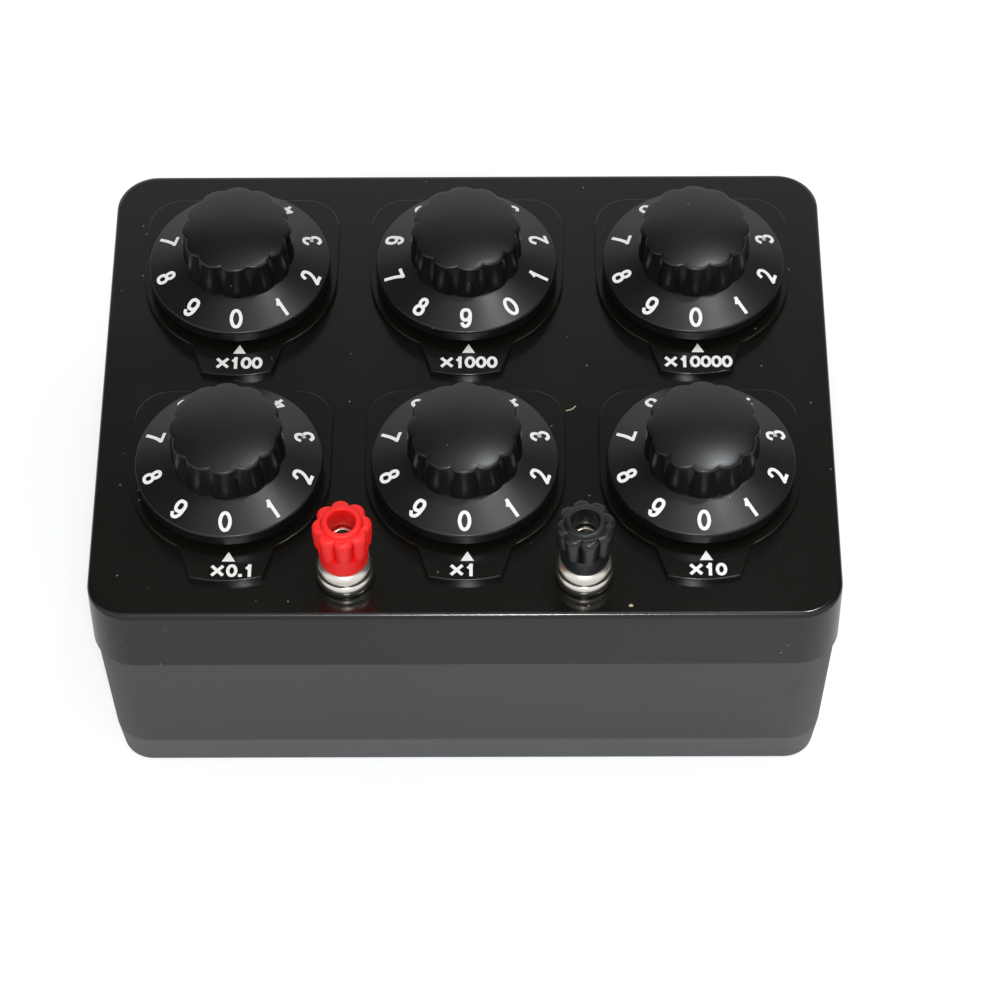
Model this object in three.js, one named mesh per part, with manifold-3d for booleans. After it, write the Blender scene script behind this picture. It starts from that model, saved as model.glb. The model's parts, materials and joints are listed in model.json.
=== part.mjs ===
// Decade resistance box: six rotary decades and two terminal posts in a two-part moulded case.
// Millimetres. +Z is up, the front faces -Y, and the origin is the middle of the underside.
import * as THREE from "three";
import { mergeVertices } from "three/addons/utils/BufferGeometryUtils.js";
import Module from "manifold-3d";

const wasm = await Module();
wasm.setup();

// Fits that every piece shares: the clearance between neighbours, how far one solid is sunk into the
// solid it is moulded with, and how far a cut runs past the face that it opens.
const gap = 0.3;
const sink = 0.4;
const overrun = 1;

// Layout of the panel. The case is as large as the dials and these margins make it.
const dialPitchX = 52.2;
const dialPitchY = 56;
const sideMargin = 30.3;
const frontMargin = 37.1;
const backMargin = 31.9;
const postSetback = 11.1;
const screwInset = 10.5;

// Cover
const coverHeight = 19;
const coverCorner = 9.5;
const coverEdge = 1.25;
const coverFlare = 0.3;
const coverWall = 2.5;
const panelThickness = 3;
const pillarRadius = 4;
const pillarLength = 31;
const postBossRadius = 6.5;
const postBossHeight = 0.9;

// Raised plate under each dial, with its tab to the front
const plateHeight = 1.6;
const plateHalf = 22.3;
const plateBack = 23;
const plateCorner = 8;
const plateEdge = 0.3;
const tabRootHalf = 10.4;
const tabTipHalf = 8;
const tabReach = 28.7;

// Base
const baseHeight = 45;
const baseStep = 0.3;
const bandHeight = 10;
const bandInset = 1.5;
const footInset = 2.4;
const footRound = 1;
const baseWall = 2.5;
const floorThickness = 3;
const lipHeight = 4;
const lipThickness = 1.6;
const lipRoot = 6;
const bossRadius = 4.6;

// Case screws
const screwSeat = 8;
const screwGrip = 10;
const screwRadius = 1.5;
const screwHeadRadius = 2.9;
const screwHeadHeight = 2;
const screwSlotReach = 1.75;
const screwSlotWidth = 0.8;
const screwSlotDepth = 1;

// Dial knob, measured up from the plate that it turns over
const knobLift = 2.3;
const skirtRadius = 20.8;
const skirtWall = 2.3;
const rimHeight = 3;
const rimEdge = 0.4;
const coneRise = 2.6;
const handleHeight = 9.1;
const handleRoot = 12.75;
const handleTop = 12.45;
const fluteDepth = 0.85;
const handleEdge = 0.3;
const crownRise = 1.75;
const grubRadius = 1.5;
const grubLength = 6;
const grubHeight = 4.6;

// Switch: bushing, nut, shaft, detent housing
const bushingRadius = 4.5;
const bushingProud = 0.8;
const nutHeight = 2.5;
const nutAcross = 12;
const shaftRadius = 3;
const shaftFlat = 0.5;
const shaftFlatLength = 9;
const shaftCover = 2.9;
const housingRadius = 13;
const housingHeight = 6;
const housingEdge = 0.8;

// Contact wafer and the wiper that sweeps its contacts
const waferRadius = 19;
const waferThickness = 2;
const contactInner = 12;
const contactOuter = 18.2;
const contactWidth = 2.2;
const contactHeight = 0.8;
const solderCircle = 17.3;
const terminalReach = 22.5;
const wiperReach = 14.6;
const wiperWidth = 3;
const wiperThickness = 0.8;
const rotorRadius = 5;
const rotorFloor = 0.8;
const shaftTail = 1;

// Resistors
const resistorRadius = 1.2;
const leadRadius = 0.4;
const leadLength = 2.2;

// Terminal post: stud and flange
const flangeRadius = 6.3;
const flangeHeight = 2.1;
const flangeEdge = 1.6;
const socketRadius = 2.05;
const socketDepth = 14;
const studWall = 0.95;
const studRise = 11;
const studTail = 1.5;

// Terminal post: nickel collar and plastic cap
const collarRadius = 6.2;
const collarHeight = 3;
const collarEdge = 2.2;
const sleeveWall = 0.6;
const sleeveLength = 4.6;
const capFootWall = 1.1;
const capTaper = 0.3;
const capNeckLength = 4.9;
const capHeadLength = 7.8;
const capRib = 0.85;
const capRibTaper = 0.3;
const capRibSlope = 0.7;
const capFluteDepth = 1.8;
const capFluteFade = 1.8;
const capScallop = 1.05;
const capEdge = 0.4;
const capWellRadius = 3;
const capLipWidth = 1.15;
const capLipSlope = 0.35;
const capLipHeight = 0.9;

// Terminal post: lug and nut below the panel
const lugRadius = 5.4;
const lugThickness = 0.8;
const lugWidth = 3;
const lugReach = 12;
const postNutHeight = 4;
const postNutAcross = 10;

// Wiring
const bundleRadius = 1.4;
const wireRadius = 1;
const bundleDrop = 9;

// Counts, angles and shares
const positions = 10;
const handleLobes = 12;
const capLobes = 8;
const front = -Math.PI / 2;
const back = Math.PI / 2;
const step = (2 * Math.PI) / positions;
const crownShares = [0.97, 0.8, 0.6, 0.35];
const decades = [
  { name: "x0_1", column: -1, row: 0, reading: 0 },
  { name: "x1", column: 0, row: 0, reading: 0 },
  { name: "x10", column: 1, row: 0, reading: 0 },
  { name: "x100", column: -1, row: 1, reading: 0 },
  { name: "x1000", column: 0, row: 1, reading: 9 },
  { name: "x10000", column: 1, row: 1, reading: 0 },
];

// Sizes that follow from the ones above
const caseLength = 2 * (dialPitchX + sideMargin);
const caseWidth = dialPitchY + frontMargin + backMargin;
const panelTop = baseHeight + coverHeight;
const panelUnder = panelTop - panelThickness;
const frontRow = frontMargin - caseWidth / 2;
const postX = dialPitchX / 2;
const postY = postSetback - caseWidth / 2;
const screwX = caseLength / 2 - screwInset;
const screwY = caseWidth / 2 - screwInset;
const pillarFoot = panelUnder - pillarLength;
const bossTop = pillarFoot - gap;

// Heights on a dial's own axis, from the panel's top
const nutTop = plateHeight + gap + nutHeight;
const bushingTop = nutTop + bushingProud;
const knobBottom = plateHeight + knobLift;
const recessCeiling = bushingTop + 2 * gap;
const rimTop = knobBottom + rimHeight;
const coneTop = rimTop + coneRise;
const handleRim = coneTop + handleHeight;
const crownFoot = handleRim + handleEdge;
const shaftTop = handleRim - shaftCover;
const grubZ = coneTop + grubHeight;
const housingTop = -panelThickness - gap;
const waferTop = housingTop - housingHeight - gap;
const waferUnder = waferTop - waferThickness;
const contactUnder = waferUnder - contactHeight;
const wiperTop = contactUnder - gap;
const wiperUnder = wiperTop - wiperThickness;
const rotorUnder = wiperUnder - rotorFloor;
const chainZ = contactUnder - gap - leadRadius;

// Radii of a post, from its socket outwards
const studRadius = socketRadius + studWall;
const sleeveRadius = studRadius + gap + sleeveWall;
const capFootRadius = sleeveRadius + gap + capFootWall;
const capNeckRadius = capFootRadius + capTaper;
const capHeadRadius = capNeckRadius + capRib;
const capLipRadius = capWellRadius + capLipWidth;

// Heights on a post's own axis, from the panel's top
const flangeFoot = postBossHeight + gap;
const flangeTop = flangeFoot + flangeHeight;
const collarFoot = flangeTop + gap;
const collarTop = collarFoot + collarHeight;
const sleeveTop = collarTop + sleeveLength;
const studTop = flangeTop + studRise;
const capFoot = collarTop + gap;
const capShoulder = capFoot + capNeckLength;
const capTop = capShoulder + capHeadLength;
const lugTop = -panelThickness - gap;
const lugUnder = lugTop - lugThickness;
const postNutTop = lugUnder - gap;
const postNutUnder = postNutTop - postNutHeight;

// Shapes

// The closed solid of a three.js geometry, with its shared corners merged and its faces turned outwards.
function solidOf(geometry) {
  const loose = geometry.index ? geometry.toNonIndexed() : geometry;
  const bare = new THREE.BufferGeometry().setAttribute("position", loose.getAttribute("position"));
  const merged = mergeVertices(bare);
  const corners = merged.index.array;
  const triVerts = [];
  for (let i = 0; i < corners.length; i += 3) {
    const [a, b, c] = corners.slice(i, i + 3);
    if (a !== b && b !== c && c !== a) triVerts.push(a, b, c);
  }
  const build = (indices) =>
    new wasm.Manifold(
      new wasm.Mesh({
        numProp: 3,
        vertProperties: merged.getAttribute("position").array,
        triVerts: new Uint32Array(indices),
      }),
    );
  const made = build(triVerts);
  return made.volume() < 0 ? build(triVerts.reverse()) : made;
}

// The first solid with the others joined on, or cut away.
const join = (...solids) => solids.reduce((whole, solid) => whole.add(solid));
const cut = (...solids) => solids.reduce((whole, solid) => whole.subtract(solid));

// A round bar from one height to another. The default number of sides suits small bores and pins.
function bar(radius, low, high, sides = 16) {
  const shape = new THREE.CylinderGeometry(radius, radius, high - low, sides);
  return solidOf(shape.rotateX(Math.PI / 2).translate(0, 0, (low + high) / 2));
}

// A hexagonal bar, given across its flats.
const hexBar = (across, low, high) => bar(across / 2 / Math.cos(Math.PI / 6), low, high, 6);

// A block between two corners.
function block([x0, y0, z0], [x1, y1, z1]) {
  const shape = new THREE.BoxGeometry(x1 - x0, y1 - y0, z1 - z0);
  return solidOf(shape.translate((x0 + x1) / 2, (y0 + y1) / 2, (z0 + z1) / 2));
}

// A turned solid: its profile is a list of [radius, height], from the axis back to the axis.
function turned(profile, sides) {
  const points = profile.map(([radius, height]) => new THREE.Vector2(radius, height));
  return solidOf(new THREE.LatheGeometry(points, sides).rotateX(Math.PI / 2));
}

// A closed skin through rings of equally many points, with a flat or pointed fan over each end.
function loft(rings) {
  const count = rings[0].length;
  const middle = (ring) =>
    ring.reduce((sum, point) => sum.add(point), new THREE.Vector3()).divideScalar(count);
  const points = [...rings.flat(), middle(rings[0]), middle(rings.at(-1))];
  const first = points.length - 2;
  const last = points.length - 1;
  const topRing = (rings.length - 1) * count;
  const faces = [];
  for (let i = 0; i < count; i++) {
    const next = (i + 1) % count;
    for (let start = 0; start < topRing; start += count) {
      const [a, b] = [start + i, start + next];
      faces.push(a, b, b + count, a, b + count, a + count);
    }
    faces.push(first, next, i, last, topRing + i, topRing + next);
  }
  return solidOf(new THREE.BufferGeometry().setFromPoints(points).setIndex(faces));
}

// Points of an arc, counter-clockwise, and a flat outline lifted to a height.
const arc = (x, y, radius, from, to, steps) =>
  new THREE.EllipseCurve(x, y, radius, radius, from, to).getPoints(steps);
const ringAt = (outline, height) => outline.map((point) => new THREE.Vector3(point.x, point.y, height));

// The case's outline, drawn in from the cover's by an inset, at a height.
function caseRing(inset, height) {
  const radius = Math.max(coverCorner - inset, sink);
  const x = caseLength / 2 - inset - radius;
  const y = caseWidth / 2 - inset - radius;
  const centres = [[x, y], [-x, y], [-x, -y], [x, -y]];
  const outline = centres.flatMap(([cx, cy], quarter) =>
    arc(cx, cy, radius, (quarter * Math.PI) / 2, ((quarter + 1) * Math.PI) / 2, 4),
  );
  return ringAt(outline, height);
}

// Equal round lobes about the origin, the first one centred on the front, with sharp valleys between.
function lobedRing(outer, valley, count, steps, height) {
  const half = Math.PI / count;
  const centre = (outer ** 2 - valley ** 2) / (2 * (outer - valley * Math.cos(half)));
  const spread = Math.atan2(valley * Math.sin(half), valley * Math.cos(half) - centre);
  const outline = [];
  for (let lobe = 0; lobe < count; lobe++) {
    const way = front + 2 * half * lobe;
    const [x, y] = [centre * Math.cos(way), centre * Math.sin(way)];
    outline.push(...arc(x, y, outer - centre, way - spread, way + spread, steps).slice(0, -1));
  }
  return ringAt(outline, height);
}

// A quarter round from a wall to a top, as [how far in, how far up] for each step.
function quarterRound(radius, steps) {
  return Array.from({ length: steps + 1 }, (_, i) => {
    const turn = ((i / steps) * Math.PI) / 2;
    return [radius * (1 - Math.cos(turn)), radius * Math.sin(turn)];
  });
}

// The rounded outer edge of a turned piece, as half section points from its wall to its top.
function roundedEdge(radius, top, edge) {
  return quarterRound(edge, 3).map(([inwards, up]) => [radius - inwards, top - edge + up]);
}

// A round tube through points, as the wiring runs.
function tube(points, radius, steps) {
  const path = new THREE.CatmullRomCurve3(
    points.map((point) => new THREE.Vector3(...point)),
    false,
    "centripetal",
  );
  const section = new THREE.Shape(arc(0, 0, radius, 0, 2 * Math.PI, 6).slice(0, -1));
  const options = { steps, extrudePath: path, bevelEnabled: false };
  return solidOf(new THREE.ExtrudeGeometry(section, options));
}

// A place on a circle about a dial's axis.
const onCircle = (radius, way, height) => [radius * Math.cos(way), radius * Math.sin(way), height];

// Case

// Where the four case screws stand.
const screwPlaces = [[-1, -1], [1, -1], [1, 1], [-1, 1]].map(([x, y]) => [x * screwX, y * screwY]);

// Where each dial stands.
const dialPlace = (decade) => [decade.column * dialPitchX, frontRow + decade.row * dialPitchY];

// One raised plate: square at the back, round at the front, with the tab that carries pointer and figure.
function dialPlate([x, y]) {
  const rootWay = Math.asin(tabRootHalf / plateHalf);
  const tipWay = Math.asin(tabTipHalf / tabReach);
  const cornerX = plateHalf - plateCorner;
  const cornerY = plateBack - plateCorner;
  const outline = [
    ...arc(cornerX, cornerY, plateCorner, 0, back, 4),
    ...arc(-cornerX, cornerY, plateCorner, back, Math.PI, 4),
    ...arc(0, 0, plateHalf, Math.PI, 2 * Math.PI + front - rootWay, 6),
    ...arc(0, 0, tabReach, front - tipWay, front + tipWay, 2),
    ...arc(0, 0, plateHalf, front + rootWay, 0, 6).slice(0, -1),
  ];
  const plate = new THREE.ExtrudeGeometry(new THREE.Shape(outline), {
    depth: plateHeight,
    bevelThickness: plateEdge,
    bevelSize: plateEdge,
    bevelOffset: -plateEdge,
    bevelSegments: 1,
  });
  return solidOf(plate.translate(x, y, panelTop - plateEdge));
}

// Black cover: panel, skirt, plates, the bosses that the posts stand on and the pillars that the case
// screws bite into.
function topCover() {
  const outer = loft([
    caseRing(-coverFlare, baseHeight),
    ...quarterRound(coverEdge, 3).map(([inwards, up]) => caseRing(inwards, panelTop - coverEdge + up)),
  ]);
  const hollow = loft([
    caseRing(coverWall, baseHeight - overrun),
    caseRing(coverWall, panelUnder),
  ]);
  const pillars = screwPlaces.map(([x, y]) =>
    bar(pillarRadius, pillarFoot, panelUnder + sink, 12).translate(x, y, 0),
  );
  const pilots = screwPlaces.map(([x, y]) =>
    bar(screwRadius + gap, pillarFoot - overrun, pillarFoot + screwGrip + overrun, 10).translate(x, y, 0),
  );
  const shaftHoles = decades.map((decade) =>
    bar(bushingRadius + gap, panelUnder - overrun, panelTop + plateHeight + overrun, 12).translate(
      ...dialPlace(decade),
      0,
    ),
  );
  const postHoles = [-postX, postX].map((x) =>
    bar(studRadius + gap, panelUnder - overrun, panelTop + postBossHeight + overrun, 12).translate(
      x,
      postY,
      0,
    ),
  );
  const plates = decades.map((decade) => dialPlate(dialPlace(decade)));
  const postBosses = [-postX, postX].map((x) =>
    bar(postBossRadius, panelTop - sink, panelTop + postBossHeight, 24).translate(x, postY, 0),
  );
  const shell = join(cut(outer, hollow), ...pillars, ...plates, ...postBosses);
  return cut(shell, ...pilots, ...shaftHoles, ...postHoles);
}

// Dark base: a tray that narrows to its foot, with a lip inside the cover and four screw bosses.
function baseTray() {
  const shoulder = baseHeight - gap;
  const lipInset = coverWall + gap;
  const outer = loft([
    caseRing(footInset + footRound, 0),
    caseRing(footInset, footRound),
    caseRing(bandInset, bandHeight),
    caseRing(baseStep, shoulder),
  ]);
  const lip = loft([
    caseRing(lipInset, shoulder - lipRoot),
    caseRing(lipInset, baseHeight + lipHeight),
  ]);
  const hollow = loft([
    caseRing(footInset + baseWall, floorThickness),
    caseRing(baseStep + baseWall, shoulder - lipRoot),
    caseRing(lipInset + lipThickness, shoulder - lipRoot + lipThickness),
    caseRing(lipInset + lipThickness, baseHeight + lipHeight + overrun),
  ]);
  const bosses = screwPlaces.map(([x, y]) =>
    bar(bossRadius, floorThickness - sink, bossTop, 12).translate(x, y, 0),
  );
  const holes = screwPlaces.map(([x, y]) =>
    join(
      bar(screwRadius + gap, screwSeat - overrun, bossTop + overrun, 10),
      bar(screwHeadRadius + gap, -overrun, screwSeat, 12),
    ).translate(x, y, 0),
  );
  return cut(join(cut(join(outer, lip), hollow), ...bosses), ...holes);
}

// Pan head screw with a cross slot, head down.
function caseScrew() {
  const headTop = screwSeat - gap;
  const headUnder = headTop - screwHeadHeight;
  const shape = turned(
    [
      [0, headUnder],
      [screwHeadRadius - sink, headUnder],
      [screwHeadRadius, headUnder + sink],
      [screwHeadRadius, headTop],
      [screwRadius, headTop],
      [screwRadius, pillarFoot + screwGrip],
      [0, pillarFoot + screwGrip],
    ],
    10,
  );
  const slot = (x, y) =>
    block([-x, -y, headUnder - overrun], [x, y, headUnder + screwSlotDepth]);
  const halfSlot = screwSlotWidth / 2;
  return cut(shape, slot(screwSlotReach, halfSlot), slot(halfSlot, screwSlotReach));
}

// Dial

// One moulding: the coned skirt that carries the figures, and the fluted handle with its shallow crown.
function dialKnob() {
  const skirt = turned(
    [
      [0, recessCeiling],
      [skirtRadius - skirtWall, recessCeiling],
      [skirtRadius - skirtWall, knobBottom],
      [skirtRadius, knobBottom],
      [skirtRadius, rimTop - rimEdge],
      [skirtRadius - rimEdge, rimTop],
      [handleRoot, coneTop],
      [0, coneTop],
    ],
    32,
  );
  const lobes = (outer, depth, height) => lobedRing(outer, outer - depth, handleLobes, 3, height);
  const handle = loft([
    lobes(handleRoot, fluteDepth, coneTop - sink),
    lobes(handleTop, fluteDepth, handleRim),
    ...crownShares.map((share) =>
      lobes(handleTop * share, fluteDepth * share ** 2, crownFoot + crownRise * (1 - share ** 2)),
    ),
  ]);
  const bore = bar(shaftRadius + gap, recessCeiling - overrun, shaftTop + gap, 12);
  const grubHole = bar(grubRadius + gap, 0, handleRoot + overrun, 8).rotate([-90, 0, 0]);
  return cut(join(skirt, handle), bore, grubHole.translate(0, 0, grubZ));
}

// Headless screw from the handle's back to the flat on the shaft.
function grubScrew() {
  const tip = shaftRadius - shaftFlat + gap;
  const screw = bar(grubRadius, tip, tip + grubLength, 8);
  const slot = block(
    [-grubRadius - overrun, -screwSlotWidth / 2, tip + grubLength - screwSlotDepth],
    [grubRadius + overrun, screwSlotWidth / 2, tip + grubLength + overrun],
  );
  return cut(screw, slot).rotate([-90, 0, 0]).translate(0, 0, grubZ);
}

// Shaft with its flat for the grub screw, and the rotor whose arm sweeps the contacts.
function switchShaft() {
  const wiperWay = front + step / 2;
  const shaft = bar(shaftRadius, rotorUnder - shaftTail, shaftTop, 12);
  const flat = block(
    [-shaftRadius - overrun, shaftRadius - shaftFlat, shaftTop - shaftFlatLength],
    [shaftRadius + overrun, shaftRadius + overrun, shaftTop + overrun],
  );
  const rotor = bar(rotorRadius, rotorUnder, waferUnder - gap, 10);
  const arm = block([0, -wiperWidth / 2, wiperUnder], [wiperReach, wiperWidth / 2, wiperTop]);
  return join(cut(shaft, flat), rotor, arm.rotate([0, 0, (wiperWay * 180) / Math.PI]));
}

const panelNut = () =>
  cut(
    hexBar(nutAcross, plateHeight + gap, nutTop),
    bar(bushingRadius + gap, plateHeight - overrun, nutTop + overrun, 12),
  );

// Threaded bushing through the panel, and the round detent housing under it.
function switchBody() {
  const housingUnder = housingTop - housingHeight;
  const shape = turned(
    [
      [0, housingUnder],
      [housingRadius - housingEdge, housingUnder],
      [housingRadius, housingUnder + housingEdge],
      [housingRadius, housingTop],
      [bushingRadius, housingTop],
      [bushingRadius, bushingTop],
      [0, bushingTop],
    ],
    16,
  );
  return cut(shape, bar(shaftRadius + gap, housingUnder - overrun, bushingTop + overrun, 12));
}

// Where each contact stands: the readings follow each other clockwise, so the dial turns the other way.
const contactWay = (reading) => front + step / 2 - reading * step;

// Insulating disc with ten contact strips on its underside, and the common terminal that stands out.
function contactWafer(terminalWay) {
  const disc = cut(
    bar(waferRadius, waferUnder, waferTop, 20),
    bar(shaftRadius + gap, waferUnder - overrun, waferTop + overrun, 12),
  );
  const turnedTo = (solid, way) => solid.rotate([0, 0, (way * 180) / Math.PI]);
  const strip = (inner, outer) =>
    block([inner, -contactWidth / 2, contactUnder], [outer, contactWidth / 2, waferUnder + sink]);
  const contact = strip(contactInner, contactOuter);
  const contacts = Array.from({ length: positions }, (_, reading) => turnedTo(contact, contactWay(reading)));
  const terminal = strip(solderCircle + resistorRadius + gap, terminalReach);
  return join(disc, ...contacts, turnedTo(terminal, terminalWay));
}

// Nine resistors in series under the contacts' outer ends, drawn as one lead that swells at each body.
function resistorChain() {
  const corners = Array.from({ length: positions }, (_, reading) =>
    new THREE.Vector3(...onCircle(solderCircle, contactWay(reading), chainZ)),
  );
  const sides = 5;
  const up = new THREE.Vector3(0, 0, 1);
  const ringAbout = (centre, along, radius) => {
    const across = new THREE.Vector3().crossVectors(along, up).normalize();
    return Array.from({ length: sides }, (_, i) => {
      const way = (2 * Math.PI * i) / sides;
      return centre
        .clone()
        .addScaledVector(across, radius * Math.cos(way))
        .addScaledVector(up, radius * Math.sin(way));
    });
  };
  const rings = [];
  corners.slice(1).forEach((corner, i) => {
    const start = corners[i];
    const span = new THREE.Vector3().subVectors(corner, start);
    const lead = span.clone().setLength(leadLength);
    const [low, high] = [start.clone().add(lead), corner.clone().sub(lead)];
    const before = i === 0 ? span : new THREE.Vector3().subVectors(corner, corners[i - 1]);
    rings.push(ringAbout(start, before, leadRadius));
    rings.push(ringAbout(low, span, leadRadius), ringAbout(low, span, resistorRadius));
    rings.push(ringAbout(high, span, resistorRadius), ringAbout(high, span, leadRadius));
    if (i === corners.length - 2) rings.push(ringAbout(corner, span, leadRadius));
  });
  return loft(rings);
}

// Terminal post

// Stud with its flange on the cover's boss and a 4 mm socket down its top.
function postStud() {
  const foot = postNutUnder - studTail;
  const shape = turned(
    [
      [0, foot],
      [studRadius, foot],
      [studRadius, flangeFoot],
      [flangeRadius, flangeFoot],
      ...roundedEdge(flangeRadius, flangeTop, flangeEdge),
      [studRadius, flangeTop],
      [studRadius, studTop],
      [0, studTop],
    ],
    20,
  );
  return cut(shape, bar(socketRadius, studTop - socketDepth, studTop + overrun, 12));
}

// Nickel collar that clamps on the flange, with the threaded sleeve that the cap is moulded on.
function postCollar() {
  const shape = turned(
    [
      [0, collarFoot],
      [collarRadius, collarFoot],
      ...roundedEdge(collarRadius, collarTop, collarEdge),
      [sleeveRadius, collarTop],
      [sleeveRadius, sleeveTop],
      [0, sleeveTop],
    ],
    20,
  );
  return cut(shape, bar(studRadius + gap, collarFoot - overrun, sleeveTop + overrun, 20));
}

// Plastic cap: plain neck, fluted head and the raised lip of the well that a 4 mm plug enters.
function postCap() {
  const neck = turned(
    [
      [0, capFoot],
      [capFootRadius, capFoot],
      [capNeckRadius, capShoulder + sink],
      [0, capShoulder + sink],
    ],
    20,
  );
  const lobes = (inwards, depth, height) => {
    const outer = capHeadRadius - inwards;
    return lobedRing(outer, outer - depth, capLobes, 5, height);
  };
  const head = loft([
    lobes(capRibTaper + capRibSlope, capFluteDepth, capShoulder),
    lobes(capRibTaper, capFluteDepth, capShoulder + capRibSlope),
    lobes(0, capFluteDepth, capTop - capEdge - capFluteFade),
    lobes(0, capScallop, capTop - capEdge),
    lobes(capEdge, capScallop, capTop),
  ]);
  const lip = turned(
    [
      [0, capTop - sink],
      [capLipRadius + capLipSlope, capTop - sink],
      [capLipRadius + capLipSlope, capTop],
      [capLipRadius, capTop + capLipHeight],
      [0, capTop + capLipHeight],
    ],
    20,
  );
  return cut(
    join(neck, head, lip),
    bar(sleeveRadius + gap, capFoot - overrun, sleeveTop + gap, 20),
    bar(studRadius + gap, capFoot, studTop + gap, 20),
    bar(capWellRadius, studTop, capTop + capLipHeight + overrun, 20),
  );
}

// Ring under the panel with a tail for the wire.
function solderLug() {
  const ring = bar(lugRadius, lugUnder, lugTop, 12);
  const tail = block([-lugWidth / 2, 0, lugUnder], [lugWidth / 2, lugReach, lugTop]);
  return cut(join(ring, tail), bar(studRadius + gap, lugUnder - overrun, lugTop + overrun, 12));
}

const postNut = () =>
  cut(
    hexBar(postNutAcross, postNutUnder, postNutTop),
    bar(studRadius + gap, postNutUnder - overrun, postNutTop + overrun, 12),
  );

// Wiring

// Laced bundle between the rows, with a branch to each switch's common terminal and each post's lug.
function wiringHarness() {
  const laneY = frontRow + dialPitchY / 2;
  const laneZ = panelTop + chainZ - bundleDrop;
  const terminalZ = panelTop + contactUnder - gap;
  const lugZ = panelTop + lugUnder - gap;
  const inset = terminalReach - wireRadius;
  const trunk = tube(
    [
      [-dialPitchX - wireRadius, laneY, laneZ],
      [0, laneY, laneZ],
      [dialPitchX + wireRadius, laneY, laneZ],
    ],
    bundleRadius,
    2,
  );
  const branches = decades.map((decade) => {
    const [x, y] = dialPlace(decade);
    const endY = y + (decade.row ? -inset : inset);
    return tube(
      [
        [x, laneY, laneZ],
        [x, (laneY + endY) / 2, laneZ],
        [x, endY, (laneZ + terminalZ) / 2],
        [x, endY, terminalZ],
      ],
      wireRadius,
      4,
    );
  });
  const leads = [-postX, postX].map((x) => {
    const endY = postY + lugReach - wireRadius;
    return tube(
      [
        [x, laneY, laneZ],
        [x, (laneY + endY) / 2, laneZ],
        [x, endY + bundleDrop / 2, laneZ],
        [x, endY, (laneZ + lugZ) / 2],
        [x, endY, lugZ],
      ],
      wireRadius,
      6,
    );
  });
  return join(trunk, ...branches, ...leads);
}

// Finishes

const finish = (color, roughness, metalness) => () =>
  new THREE.MeshStandardMaterial({ color, roughness, metalness });
const glossBlack = finish(0x1c1c1b, 0.22, 0);
const satinGrey = finish(0x4a4c4d, 0.5, 0);
const knobBlack = finish(0x151617, 0.34, 0);
const redPlastic = finish(0xe4231f, 0.4, 0);
const blackPlastic = finish(0x232525, 0.42, 0);
const nickel = finish(0xcfcac0, 0.2, 1);
const zincSteel = finish(0x9c9d9b, 0.4, 1);
const phenolic = finish(0x6b4a2c, 0.6, 0);
const resistorBlue = finish(0x4f86a8, 0.45, 0);
const wireGrey = finish(0x8f9294, 0.55, 0);

// Assembly

function geometryOf(solid) {
  const { vertProperties, triVerts } = solid.getMesh();
  const shape = new THREE.BufferGeometry();
  shape.setAttribute("position", new THREE.BufferAttribute(vertProperties, 3));
  shape.setIndex(new THREE.BufferAttribute(triVerts, 1));
  const faceted = shape.toNonIndexed();
  faceted.computeVertexNormals();
  return faceted;
}

function piece(name, geometry, material) {
  const mesh = new THREE.Mesh(geometry, material());
  mesh.name = name;
  return mesh;
}

const box = new THREE.Group();
box.add(
  piece("base_tray", geometryOf(baseTray()), satinGrey),
  piece("top_cover", geometryOf(topCover()), glossBlack),
  piece("wiring_harness", geometryOf(wiringHarness()), wireGrey),
);

const screwShape = geometryOf(caseScrew());
screwPlaces.forEach(([x, y], i) => {
  const screw = piece(`case_screw_${i + 1}`, screwShape, zincSteel);
  screw.position.set(x, y, 0);
  box.add(screw);
});

const dialShapes = {
  knob: geometryOf(dialKnob()),
  grub: geometryOf(grubScrew()),
  shaft: geometryOf(switchShaft()),
  nut: geometryOf(panelNut()),
  body: geometryOf(switchBody()),
  wafers: [contactWafer(back), contactWafer(front)].map(geometryOf),
  chain: geometryOf(resistorChain()),
};
for (const decade of decades) {
  const dial = new THREE.Group();
  dial.position.set(...dialPlace(decade), panelTop);
  const turning = new THREE.Group();
  turning.rotation.z = -decade.reading * step;
  turning.add(
    piece(`dial_knob_${decade.name}`, dialShapes.knob, knobBlack),
    piece(`grub_screw_${decade.name}`, dialShapes.grub, zincSteel),
    piece(`switch_shaft_${decade.name}`, dialShapes.shaft, nickel),
  );
  dial.add(
    turning,
    piece(`panel_nut_${decade.name}`, dialShapes.nut, nickel),
    piece(`switch_body_${decade.name}`, dialShapes.body, zincSteel),
    piece(`contact_wafer_${decade.name}`, dialShapes.wafers[decade.row], phenolic),
    piece(`resistor_chain_${decade.name}`, dialShapes.chain, resistorBlue),
  );
  box.add(dial);
}

const postShapes = {
  cap: geometryOf(postCap()),
  collar: geometryOf(postCollar()),
  stud: geometryOf(postStud()),
  lug: geometryOf(solderLug()),
  nut: geometryOf(postNut()),
};
const posts = [
  { name: "red", x: -postX, plastic: redPlastic, turn: 0 },
  { name: "black", x: postX, plastic: blackPlastic, turn: 10 },
];
for (const { name, x, plastic, turn } of posts) {
  const post = new THREE.Group();
  post.position.set(x, postY, panelTop);
  const cap = piece(`${name}_post_cap`, postShapes.cap, plastic);
  cap.rotation.z = THREE.MathUtils.degToRad(turn);
  post.add(
    cap,
    piece(`${name}_post_collar`, postShapes.collar, nickel),
    piece(`${name}_post_stud`, postShapes.stud, nickel),
    piece(`${name}_post_lug`, postShapes.lug, nickel),
    piece(`${name}_post_nut`, postShapes.nut, nickel),
  );
  box.add(post);
}

export default box;
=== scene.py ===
"""Decade resistance box: six dials and two terminal posts on a gloss black cover, over a dark grey base."""

import json
import math

import bmesh
import bpy
from mathutils import Matrix, Vector

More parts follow.
